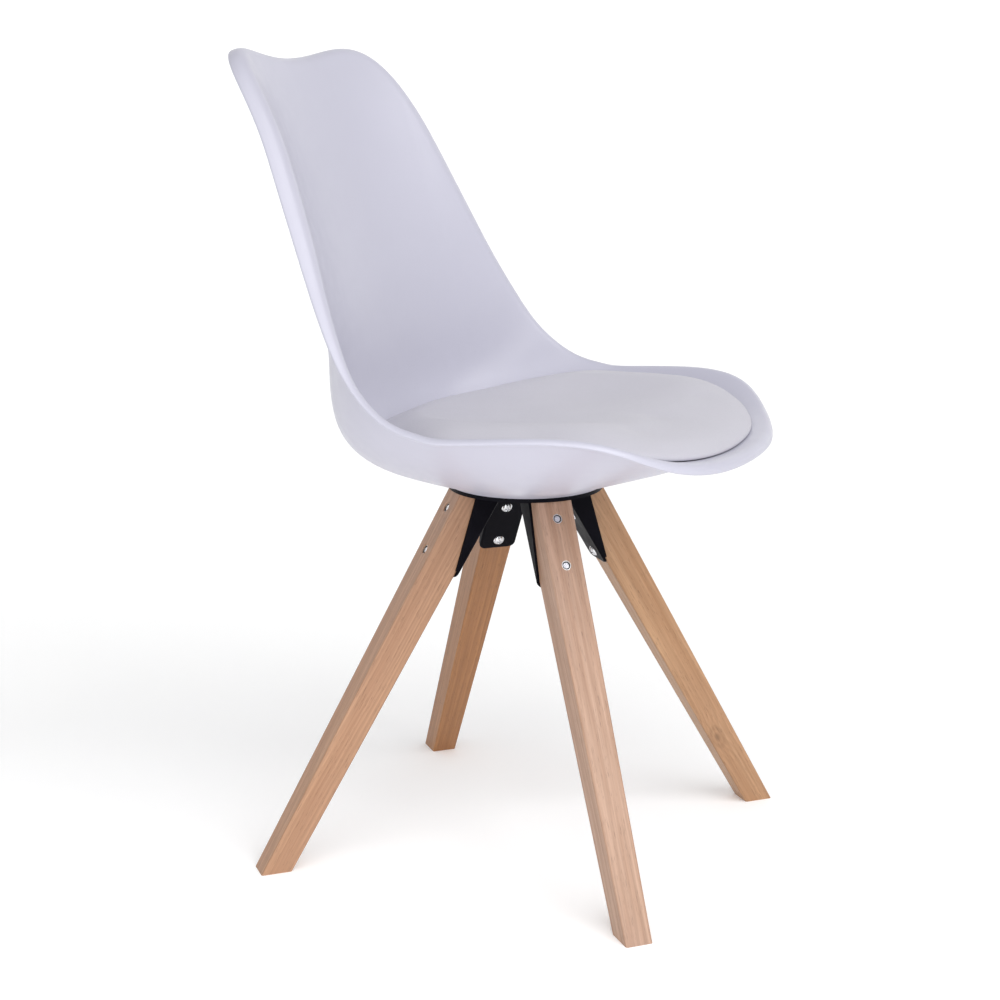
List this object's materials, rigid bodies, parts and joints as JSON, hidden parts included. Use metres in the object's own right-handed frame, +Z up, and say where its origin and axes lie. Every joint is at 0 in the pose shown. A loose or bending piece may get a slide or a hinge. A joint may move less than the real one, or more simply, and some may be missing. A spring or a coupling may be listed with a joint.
{
  "type": "dining chair",
  "caption": "Dining chair with a one-piece moulded bucket shell, a loose padded seat cushion and splayed square tapered wooden legs bolted to a black steel bracket.",
  "frame": {"origin": "on the floor under the middle of the round mounting plate", "axes": "+Z up, the chair faces -Y, +X is the sitter's left"},
  "size_m": [0.4736, 0.519, 0.8172],
  "materials": {
    "shell_plastic": "fine satin moulded polypropylene, cool white",
    "brass": "plain machined",
    "board_plastic": "moulded cushion base",
    "foam": "polyurethane foam",
    "cushion_leather": "smooth fine-grained imitation leather, light grey white",
    "black_steel": "satin black powder coat",
    "zinc": "bright zinc plate",
    "leg_wood": "oiled hardwood, straight grain along the leg"
  },
  "bodies": {
    "root": {"seat_shell": "shell_plastic", "shell_inserts": "brass", "cushion_board": "board_plastic", "cushion_foam": "foam", "cushion_cover": "cushion_leather", "bracket_plate": "black_steel", "plate_screws": "zinc", "plate_washers": "zinc", "leg_front_left": "leg_wood", "bracket_arm_front_left": "black_steel", "leg_bolts_front_left": "zinc", "sleeve_nuts_front_left": "zinc", "leg_front_right": "leg_wood", "bracket_arm_front_right": "black_steel", "leg_bolts_front_right": "zinc", "sleeve_nuts_front_right": "zinc", "leg_rear_left": "leg_wood", "bracket_arm_rear_left": "black_steel", "leg_bolts_rear_left": "zinc", "sleeve_nuts_rear_left": "zinc", "leg_rear_right": "leg_wood", "bracket_arm_rear_right": "black_steel", "leg_bolts_rear_right": "zinc", "sleeve_nuts_rear_right": "zinc"}
  },
  "joints": []
}
